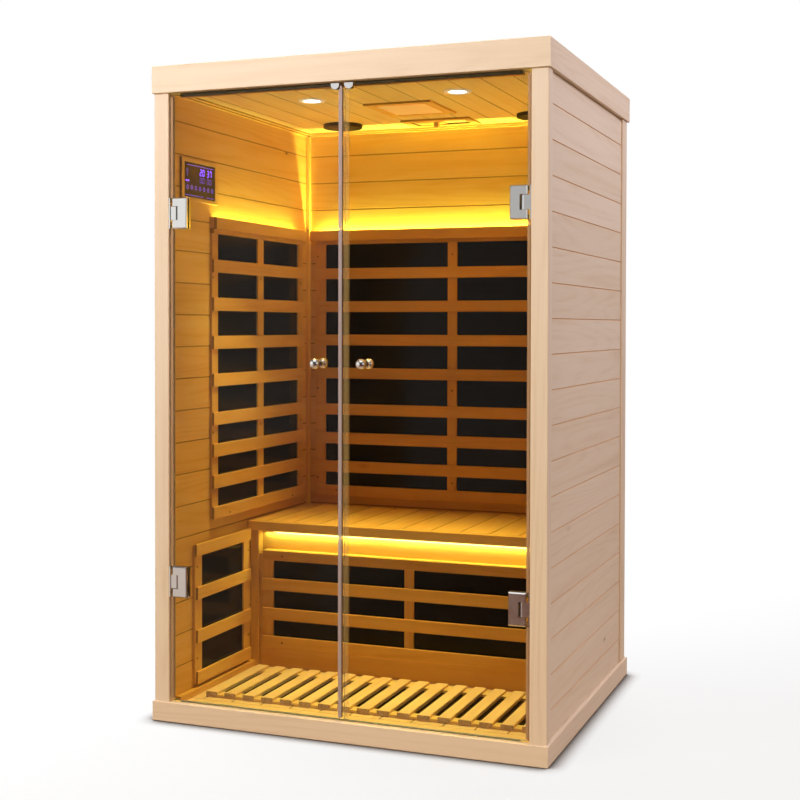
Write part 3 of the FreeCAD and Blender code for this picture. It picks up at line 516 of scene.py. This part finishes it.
# seals: the right door's meeting strip is clear, the others are milky
for n in ("left_door_seals", "right_door_seals"):
    me = NODES[n].data
    me.materials.clear()
    me.materials.append(MAT["seal"])
    me.materials.append(MAT["seal_clear"])
    me.materials.append(MAT["seal_jamb"])
    me.materials.append(MAT["seal_dark"])
    for poly in me.polygons:
        poly.material_index = 2 if abs(poly.center.x) > 0.2 else (1 if n.startswith("right") else (3 if poly.normal.x > 0.7 else 0))


# ---------------------------------------------------------------- small pieces
def piece(name, bm, mat, body, smooth=False):
    me = bpy.data.meshes.new(name)
    bmesh.ops.recalc_face_normals(bm, faces=bm.faces[:])
    bm.to_mesh(me)
    bm.free()
    for poly in me.polygons:
        poly.use_smooth = smooth
    for m in (mat if isinstance(mat, (list, tuple)) else [mat]):
        me.materials.append(m)
    ob = bpy.data.objects.new(name, me)
    scene.collection.objects.link(ob)
    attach(ob, body)
    return ob


def add_prism(bm, outline, u, v, w, origin, depth, taper=0.0):
    """A closed plate: outline in (u, v) at origin, raised along w by depth, its top pulled in by taper."""
    u, v, w, o = Vector(u), Vector(v), Vector(w), Vector(origin)
    cx = sum(p[0] for p in outline) / len(outline)
    cy = sum(p[1] for p in outline) / len(outline)
    low = [bm.verts.new(o + u * a + v * b) for a, b in outline]
    top = []
    for a, b in outline:
        da, db = a - cx, b - cy
        ln = math.hypot(da, db) or 1.0
        k = max(0.0, 1.0 - taper / ln)
        top.append(bm.verts.new(o + u * (cx + da * k) + v * (cy + db * k) + w * depth))
    bm.faces.new(low[::-1])
    bm.faces.new(top)
    n = len(low)
    for i in range(n):
        bm.faces.new((low[i], low[(i + 1) % n], top[(i + 1) % n], top[i]))


def add_screw(bm, c, w, r=0.0033, h=0.0010, turn=0.0):
    """A raised countersunk head with a cross recess, centre c on a surface whose normal is w."""
    w = Vector(w).normalized()
    u = w.orthogonal().normalized()
    v = w.cross(u)
    c = Vector(c)
    a, b = r * 0.16, r * 0.62
    # eight points of the cross mouth and its inner corners
    cross = [(b, -a), (b, a), (a, a), (a, b), (-a, b), (-a, a), (-b, a), (-b, -a), (-a, -a), (-a, -b), (a, -b), (a, -a)]
    ct, st = math.cos(turn), math.sin(turn)

    def at(x, y, z):
        return bm.verts.new(c + u * (x * ct - y * st) + v * (x * st + y * ct) + w * z)

    mouth = [at(x, y, h * (1 - 0.35 * (x * x + y * y) / (r * r))) for x, y in cross]
    floor = [at(x * 0.7, y * 0.7, -h * 0.2) for x, y in cross]
    ring = []
    for x, y in cross:
        t = math.atan2(y, x)
        ring.append(at(r * 0.82 * math.cos(t), r * 0.82 * math.sin(t), h * 0.72))
    rim = []
    for x, y in cross:
        t = math.atan2(y, x)
        rim.append(at(r * math.cos(t), r * math.sin(t), -0.0001))
    n = len(cross)
    for i in range(n):
        j = (i + 1) % n
        bm.faces.new((mouth[i], mouth[j], floor[j], floor[i]))
        bm.faces.new((mouth[j], mouth[i], ring[i], ring[j]))
        bm.faces.new((ring[j], ring[i], rim[i], rim[j]))
    bm.faces.new(floor)
    bm.faces.new(rim[::-1])


MAT["screw"] = metal("screw_bronze", (0.13, 0.075, 0.04), 0.38)

# guard screws: stile screws between the slats, rail screws near the ends
bm = bmesh.new()
spin = random.Random(5)


def screw(p, w):
    add_screw(bm, [c * MM for c in p], w, turn=spin.uniform(0, 1.5))


for s in (-1, 1):
    wx = (-s, 0, 0)
    for z in (1312, 830):
        screw((s * 542, -251, z), wx)
        screw((s * 542, 68, z + 6), wx)
        screw((s * 542, 372, z), wx)
    for y in (-158, 294):
        screw((s * 535, y, 572), wx)
    for z in (429, 150):
        screw((s * 542, -350, z), wx)
        screw((s * 542, -22, z), wx)
for x in (-506, 506):
    for z in (1410, 940, 620):
        screw((x, 440, z), (0, -1, 0))
for z in (1410, 940, 620):
    screw((2, 440, z), (0, -1, 0))
for x in (-430, 430):
    screw((x, 433, 578), (0, -1, 0))
    screw((x, 0, 411), (0, -1, 0))
    screw((x, 0, 128), (0, -1, 0))
piece("guard_screws", bm, MAT["screw"], "cabin")

# lamps on the light strips
bm = bmesh.new()


def add_led(bm, c, u, v, w, half=0.0024, h=0.0016):
    """A lamp chip: square body with a domed top."""
    u, v, w, c = Vector(u), Vector(v), Vector(w), Vector(c)
    rings = []
    for k, z in ((1.0, 0.0), (1.0, 0.35), (0.86, 0.62), (0.55, 0.9)):
        rings.append([bm.verts.new(c + u * (half * k * a) + v * (half * k * b) + w * (h * z))
                      for a, b in ((1, -0.7), (1, 0.7), (0.7, 1), (-0.7, 1), (-1, 0.7), (-1, -0.7), (-0.7, -1), (0.7, -1))])
    for lo, hi in zip(rings, rings[1:]):
        for i in range(8):
            bm.faces.new((lo[i], lo[(i + 1) % 8], hi[(i + 1) % 8], hi[i]))
    bm.faces.new(rings[0][::-1])
    bm.faces.new(rings[-1])


X, Y, Z = (1, 0, 0), (0, 1, 0), (0, 0, 1)
for i in range(60):
    x = (-0.4917 + i * 0.01667)
    add_led(bm, (x, 0.4434, 1.4720), X, Y, Z)
    if x > -0.466:
        add_led(bm, (x, 0.0270, 0.485), X, (0, -1, 0), (0, 0, -1), half=0.0028, h=0.0032)
        add_led(bm, (x + 0.00833, 0.0270, 0.485), X, (0, -1, 0), (0, 0, -1), half=0.0028, h=0.0032)
for s in (-1, 1):
    for i in range(37):
        add_led(bm, (s * 0.5454, -0.2355 + i * 0.01667, 1.4690), X, Y, Z)
MAT["chip"] = lamp("lamp_chips", (1.0, 0.97, 0.85), (1.0, 0.80, 0.28), 4.2)
piece("strip_lamps", bm, MAT["chip"], "cabin")

# lit figures on the touch face: seven-segment digits, round and square marks, two rules
SEG = {"0": "abcdef", "1": "bc", "2": "abged", "3": "abgcd", "4": "fgbc", "5": "afgcd", "6": "afgedc", "7": "abc", "8": "abcdefg", "9": "abcdfg"}
gy0, gz0 = -0.4207, 1.5483
gw, gh = 0.1834, 0.1044
FX = -0.5440


def plate(bm, pts, depth=0.00018):
    """Points are (s, t): metres right of the face's left side, metres below its top side."""
    add_prism(bm, [(s, -t) for s, t in pts], Y, Z, X, (FX - 0.00002, gy0, gz0 + gh), depth)


def bar(bm, s0, t0, s1, t1, w):
    dx, dy = s1 - s0, t1 - t0
    ln = math.hypot(dx, dy)
    nx, ny = -dy / ln * w / 2, dx / ln * w / 2
    ex, ey = dx / ln * w / 2, dy / ln * w / 2
    plate(bm, [(s0 + nx, t0 + ny), (s0 - ex * 0.8, t0 - ey * 0.8), (s0 - nx, t0 - ny), (s1 - nx, t1 - ny), (s1 + ex * 0.8, t1 + ey * 0.8), (s1 + nx, t1 + ny)])


def digit(bm, ch, s, t, w, h, k, slant=0.08):
    def at(a, b):
        return (s + a * w + (1 - b) * h * slant, t + b * h)
    ends = {"a": ((0, 0), (1, 0)), "b": ((1, 0), (1, .5)), "c": ((1, .5), (1, 1)), "d": ((0, 1), (1, 1)), "e": ((0, .5), (0, 1)), "f": ((0, 0), (0, .5)), "g": ((0, .5), (1, .5))}
    for c in SEG[ch]:
        (a0, b0), (a1, b1) = ends[c]
        p, q = Vector(at(a0, b0)), Vector(at(a1, b1))
        d = (q - p).normalized() * k * 0.62
        p, q = p + d, q - d
        bar(bm, p.x, p.y, q.x, q.y, k)


def ring_mark(bm, s, t, r, k, n=18, gap=0):
    """A round mark as short bars."""
    for i in range(n - gap):
        a0, a1 = 2 * math.pi * i / n - math.pi / 2, 2 * math.pi * (i + 0.86) / n - math.pi / 2
        bar(bm, s + r * math.cos(a0), t + r * math.sin(a0), s + r * math.cos(a1), t + r * math.sin(a1), k)


bright, dim = bmesh.new(), bmesh.new()
for k, ch in enumerate("20"):
    digit(bright, ch, (0.50 + 0.085 * k) * gw, 0.155 * gh, 0.0095, 0.0180, 0.0024)
for k, ch in enumerate("37"):
    digit(bright, ch, (0.735 + 0.085 * k) * gw, 0.155 * gh, 0.0095, 0.0180, 0.0024)
for k, ch in enumerate("00"):
    digit(dim, ch, (0.50 + 0.085 * k) * gw, 0.40 * gh, 0.0090, 0.0145, 0.0014)
    digit(dim, ch, (0.735 + 0.085 * k) * gw, 0.40 * gh, 0.0090, 0.0145, 0.0014)
# the rules
bar(dim, 0.10 * gw, 0.075 * gh, 0.95 * gw, 0.075 * gh, 0.0016)
bar(dim, 0.03 * gw, 0.945 * gh, 0.62 * gw, 0.945 * gh, 0.0016)
bar(dim, 0.72 * gw, 0.945 * gh, 0.95 * gw, 0.945 * gh, 0.0016)
# left marks: a bulb on a stem, and a pair of arrows
ring_mark(dim, 0.095 * gw, 0.24 * gh, 0.0042, 0.0012, 14)
bar(dim, 0.095 * gw, 0.30 * gh, 0.095 * gw, 0.40 * gh, 0.0013)
for o in (0.06, 0.125):
    bar(bright, (o - 0.024) * gw, 0.535 * gh, (o + 0.024) * gw, 0.535 * gh, 0.0017)
    bar(bright, o * gw, 0.505 * gh, (o + 0.022) * gw, 0.53 * gh, 0.0014)
bar(dim, 0.08 * gw, 0.585 * gh, 0.12 * gw, 0.585 * gh, 0.0013)
# bottom row of touch marks
for i in range(7):
    c, t = (0.10 + 0.134 * i) * gw, 0.715 * gh
    if i in (0, 1, 4, 6):
        ring_mark(dim, c, t, 0.0058, 0.0015, 16, gap=2 if i == 0 else 0)
        bar(dim, c, t - 0.0058 if i == 0 else t - 0.002, c, t - 0.0005 if i == 0 else t + 0.002, 0.0014)
    else:
        q = 0.0052
        for a0, b0, a1, b1 in ((-q, -q, q, -q), (q, -q, q, q), (q, q, -q, q), (-q, q, -q, -q)):
            bar(dim, c + a0 * 0.9, t + b0, c + a1 * 0.9, t + b1, 0.0013)
        bar(dim, c - 0.002, t, c + 0.002, t, 0.0014)
        if i in (3, 5):
            bar(dim, c, t - 0.002, c, t + 0.002, 0.0014)
MAT["fig_bright"] = lamp("figures_bright", (0.30, 0.18, 0.9), (0.16, 0.06, 1.0), 3.2, rough=0.3, ribs=1500.0)
MAT["fig_dim"] = lamp("figures_dim", (0.24, 0.15, 0.7), (0.13, 0.06, 0.72), 0.9, rough=0.3, ribs=1500.0)
piece("panel_figures_bright", bright, MAT["fig_bright"], "cabin")
piece("panel_figures_dim", dim, MAT["fig_dim"], "cabin")


# ---------------------------------------------------------------- stage
def stage_floor():
    T = Tree("studio_floor")
    p = T.coord()
    x, y, z = T.split(p)
    d = T.v("LENGTH", T.v("MULTIPLY", p, (1.0, 1.0, 0.0)))
    n = T.noise(p, 30.0, detail=4.0)
    col = T.ramp(n, [(0.3, (0.90, 0.90, 0.905)), (0.7, (0.92, 0.92, 0.92))])
    path = T.node("ShaderNodeLightPath").outputs
    seen, gloss = path["Is Camera Ray"], path["Is Glossy Ray"]
    # soft contact shade where the plinth stands
    near = T.node("ShaderNodeAmbientOcclusion", {"Color": (1, 1, 1), "Distance": 0.055}, samples=8).outputs["AO"]
    shade = T.ramp(T.range(near, 0.50, 0.96, 0.0, 1.0), [(0.0, (0.075, 0.05, 0.038)), (0.35, (0.46, 0.42, 0.40)), (1.0, (1.0, 1.0, 1.0))])
    col = T.mix(1.0, col, shade, "MULTIPLY")
    base = T.principled(color=T.mix(seen, (0.34, 0.26, 0.20), col), rough=0.6, spec=0.1)
    # far out the floor runs into the white backdrop; it lights nothing itself, and metal sees it dimmer and warm: a
    # painted reflection, dark brown towards the cabin's right
    warm = T.ramp(T.range(x, -1.5, 0.1, 0.0, 1.0, True), [(0.0, (0.72, 0.60, 0.52)), (1.0, (0.13, 0.035, 0.012))])
    # painted shade: the self-lit floor is made darker towards the right and front
    fall = T.m("MULTIPLY_ADD", x, 0.6, T.m("MULTIPLY", y, -0.4))
    pale = T.ramp(T.range(fall, -0.4, 0.9, 0.0, 1.0, True), [(0.0, (1.0, 1.0, 1.0)), (1.0, (0.87, 0.86, 0.845))])
    pale = T.mix(T.range(d, 1.7, 3.6, 0.0, 1.0, True), pale, (1.0, 1.0, 1.0))
    glow = T.mix(seen, T.mix(gloss, (0.08, 0.065, 0.05), warm), T.mix(1.0, pale, shade, "MULTIPLY"))
    far = T.node("ShaderNodeEmission", {"Color": glow, "Strength": 1.0}).outputs[0]
    mix = T.node("ShaderNodeMixShader", {0: T.m("MAXIMUM", T.m("MULTIPLY", seen, 0.86), T.range(d, 1.0, 2.2, 0.0, 1.0, True)), 1: base, 2: far})
    return T.done(mix.outputs[0])


bm = bmesh.new()
bmesh.ops.create_grid(bm, x_segments=8, y_segments=8, size=9.0)
me = bpy.data.meshes.new("floor")
bm.to_mesh(me)
bm.free()
me.materials.append(stage_floor())
floor = bpy.data.objects.new("floor", me)
floor.location = (0, 0, -0.0006)
scene.collection.objects.link(floor)

world = bpy.data.worlds.new("studio")
scene.world = world
world.use_nodes = True
wt = world.node_tree
wt.nodes.clear()
wo = wt.nodes.new("ShaderNodeOutputWorld")
lp = wt.nodes.new("ShaderNodeLightPath")


def bg(c, s):
    n = wt.nodes.new("ShaderNodeBackground")
    n.inputs["Color"].default_value = (*c, 1)
    n.inputs["Strength"].default_value = s
    return n.outputs[0]


def wmix(f, a, b):
    n = wt.nodes.new("ShaderNodeMixShader")
    wt.links.new(f, n.inputs[0])
    wt.links.new(a, n.inputs[1])
    wt.links.new(b, n.inputs[2])
    return n.outputs[0]


soft = bg((1.0, 0.86, 0.62), 0.012)
white = bg((1.0, 1.0, 1.0), 1.0)
# what shiny faces see: a dim room, a tall soft box to the front left and one overhead
tcw = wt.nodes.new("ShaderNodeTexCoord")


def lobe(direction, lo, hi):
    d = wt.nodes.new("ShaderNodeVectorMath")
    d.operation = "DOT_PRODUCT"
    wt.links.new(tcw.outputs["Generated"], d.inputs[0])
    d.inputs[1].default_value = Vector(direction).normalized()
    r = wt.nodes.new("ShaderNodeMapRange")
    r.interpolation_type = "SMOOTHSTEP"
    wt.links.new(d.outputs["Value"], r.inputs["Value"])
    r.inputs["From Min"].default_value = lo
    r.inputs["From Max"].default_value = hi
    return r.outputs["Result"]


gloss = wmix(lobe((-0.80, -0.60, 0.06), 0.62, 0.99), bg((1.0, 1.0, 1.0), 0.06), bg((1.0, 0.98, 0.95), 1.14))
gloss = wmix(lobe((0.1, -0.25, 0.96), 0.80, 0.93), gloss, bg((1.0, 1.0, 1.0), 1.3))
gloss = wmix(lobe((0.95, -0.20, 0.15), 0.86, 0.96), gloss, bg((1.0, 0.99, 0.98), 0.8))
wt.links.new(wmix(lp.outputs["Is Camera Ray"], wmix(lp.outputs["Is Glossy Ray"], soft, gloss), white), wo.inputs["Surface"])

# the studio lamps light the outside; the inside has its own lamps
outside = bpy.data.collections.new("outside_lit")
for n in ("base_plinth", "corner_posts", "left_outer_planks", "right_outer_planks", "back_outer_planks", "roof_fascia", "front_header", "roof_panel",
          "power_box", "cable_gland", "cable_trunking", "hinge_knuckles", "hinge_pins", "left_hinge_clamps", "right_hinge_clamps", "left_door_knob",
          "right_door_knob", "left_catch_clip", "right_catch_clip", "left_door_seals", "right_door_seals", "door_gaskets", "left_door_glass",
          "right_door_glass", "floor_joists"):
    outside.objects.link(NODES[n])
outside.objects.link(floor)
# the cabin's own lamps reach everything but the studio floor
cabin_lit = bpy.data.collections.new("cabin_lit")
for o in scene.objects:
    if o.type == "MESH" and o != floor:
        cabin_lit.objects.link(o)
upper_lit = bpy.data.collections.new("upper_lit")
for n in ("ceiling_planks", "ceiling_light_frame", "vent_frame", "vent_shutter", "interior_trim", "left_inner_planks", "right_inner_planks",
          "control_panel_frame", "speaker_rims", "speaker_grilles"):
    upper_lit.objects.link(NODES[n])
guards_lit = bpy.data.collections.new("guards_lit")
for n in ("left_wall_guard", "right_wall_guard"):
    guards_lit.objects.link(NODES[n])
sill_lit = bpy.data.collections.new("sill_lit")
for n in ("front_sill", "floor_boards", "duckboard_slats"):
    sill_lit.objects.link(NODES[n])


def area(name, loc, aim, sx, sy, power, color=(1, 1, 1), spread=None, roll=None, studio=False, inside=False):
    d = bpy.data.lights.new(name, "AREA")
    d.shape = "RECTANGLE"
    d.size, d.size_y = sx, sy
    d.energy = power
    d.color = color
    if spread is not None:
        d.spread = spread
    o = bpy.data.objects.new(name, d)
    z = (Vector(loc) - Vector(aim)).normalized()
    x = Vector(roll) if roll else (Vector((0, 0, 1)).cross(z) if abs(z.z) < 0.99 else Vector((1, 0, 0)))
    x.normalize()
    y = z.cross(x)
    o.matrix_world = Matrix(((x.x, y.x, z.x, loc[0]), (x.y, y.y, z.y, loc[1]), (x.z, y.z, z.z, loc[2]), (0, 0, 0, 1)))
    scene.collection.objects.link(o)
    if studio:
        o.visible_glossy = False
        o.light_linking.receiver_collection = outside
    if inside:
        o.light_linking.receiver_collection = cabin_lit
    return o


area("key", (-0.9, -2.8, 3.3), (0, -0.5, 1.8), 2.6, 1.6, 113.0, (0.985, 1.0, 1.06), studio=True)
area("side_fill", (2.9, 0.2, 3.5), (0.6, 0, 1.7), 2.2, 1.6, 84.0, (0.98, 0.965, 1.16), studio=True)
area("left_fill", (-3.2, 0.2, 3.3), (-0.6, 0, 1.2), 2.2, 1.6, 86.0, (0.99, 0.99, 1.05), studio=True)
area("back_fill", (0.3, 3.2, 3.3), (0, 0.5, 1.2), 2.2, 1.6, 86.0, (0.99, 0.99, 1.05), studio=True)
area("top", (0.0, 0.0, 4.4), (0.0, 0.0, 0), 4.0, 4.0, 60.0, studio=True)
area("low_front", (0.2, -4.4, 0.9), (0, -0.5, 0.6), 3.0, 0.9, 28.0, (1.0, 0.66, 0.20), studio=True)
area("foot_front", (0.1, -2.3, 0.30), (0, -0.5, 0.10), 2.6, 0.3, 7.6, (1.0, 0.88, 0.62), studio=True)
area("low_side", (4.2, 0.0, 0.9), (0.6, 0, 0.7), 3.0, 0.9, 7.0, (1.0, 0.66, 0.36), studio=True)
area("foot_side", (2.3, 0.0, 0.16), (0.6, 0, 0.03), 2.4, 0.2, 5.5, (1.0, 0.90, 0.76), studio=True)

# cove lights deep behind the cover boards and under the bench edge
area("cove_back", (0, 0.4404, 1.4745), (0, 0.4404, 2.0), 0.995, 0.003, 5.7, AMBER, roll=(1, 0, 0), inside=True)
area("cove_left", (-0.5355, 0.0450, 1.4715), (-0.5355, 0.0450, 2.0), 0.570, 0.003, 1.6, AMBER, roll=(0, 1, 0), inside=True)
area("cove_right", (0.5355, 0.0450, 1.4715), (0.5355, 0.0450, 2.0), 0.570, 0.003, 1.6, AMBER, roll=(0, 1, 0), inside=True)
area("cove_bench", (-0.004, 0.029, 0.4820), (-0.004, 0.036, 0.40), 1.0, 0.011, 0.43, (1.0, 1.26, 0.21), roll=(1, 0, 0), inside=True)
# what spills in over the sill
area("sill_fill", (0.1, -2.4, 2.1), (0.0, -0.4, 0.05), 1.6, 0.8, 16.5, (1.0, 0.90, 0.80)).light_linking.receiver_collection = sill_lit
# what the bright boards send up to the ceiling and the upper walls
up = area("bounce", (0.0, -0.14, 1.06), (0.0, -0.14, 2.0), 0.58, 0.60, 2.5, (1.0, 0.86, 0.17), roll=(1, 0, 0))
up.visible_glossy = False
up.light_linking.receiver_collection = upper_lit
up = area("bounce_guards", (0.0, -0.14, 0.80), (0.0, -0.14, 2.0), 0.58, 0.60, 1.1, (1.0, 0.80, 0.20), roll=(1, 0, 0))
up.visible_glossy = False
up.light_linking.receiver_collection = guards_lit
for s in (-1, 1):
    d = bpy.data.lights.new(f"downlight_{s}", "SPOT")
    d.energy = 68.0
    d.color = WARM
    d.spot_size = math.radians(64)
    d.spot_blend = 1.0
    d.shadow_soft_size = 0.023
    o = bpy.data.objects.new(f"downlight_{s}", d)
    o.location = (s * 0.235, -0.13, 1.8475)
    o.rotation_euler = (math.radians(-6.5), 0, 0)
    o.light_linking.receiver_collection = cabin_lit
    scene.collection.objects.link(o)

# camera at the photograph's angle
th, pitch, roll = 0.362316404, -0.0174532925, 0.00219042223
R = Vector((math.cos(th), math.sin(th), 0))
F = Vector((-math.sin(th), math.cos(th), 0))
U = Vector((0, 0, 1))
F2 = F * math.cos(pitch) + U * math.sin(pitch)
U2 = U * math.cos(pitch) - F * math.sin(pitch)
R3 = R * math.cos(roll) + U2 * math.sin(roll)
U3 = U2 * math.cos(roll) - R * math.sin(roll)
cam = bpy.data.cameras.new("camera")
cam.sensor_fit = "HORIZONTAL"
cam.sensor_width = 36.0
cam.lens = 1324.16665 / 800 * 36.0
cam.shift_x = (400 - 413.5376) / 800
cam.shift_y = (349.3905 - 400) / 800
cam.clip_start, cam.clip_end = 0.05, 60.0
cam.dof.use_dof = False
co = bpy.data.objects.new("camera", cam)
L = Vector((1.49417108, -3.87079566, 1.16194806))
co.matrix_world = Matrix(((R3.x, U3.x, -F2.x, L.x), (R3.y, U3.y, -F2.y, L.y), (R3.z, U3.z, -F2.z, L.z), (0, 0, 0, 1)))
scene.collection.objects.link(co)
scene.camera = co
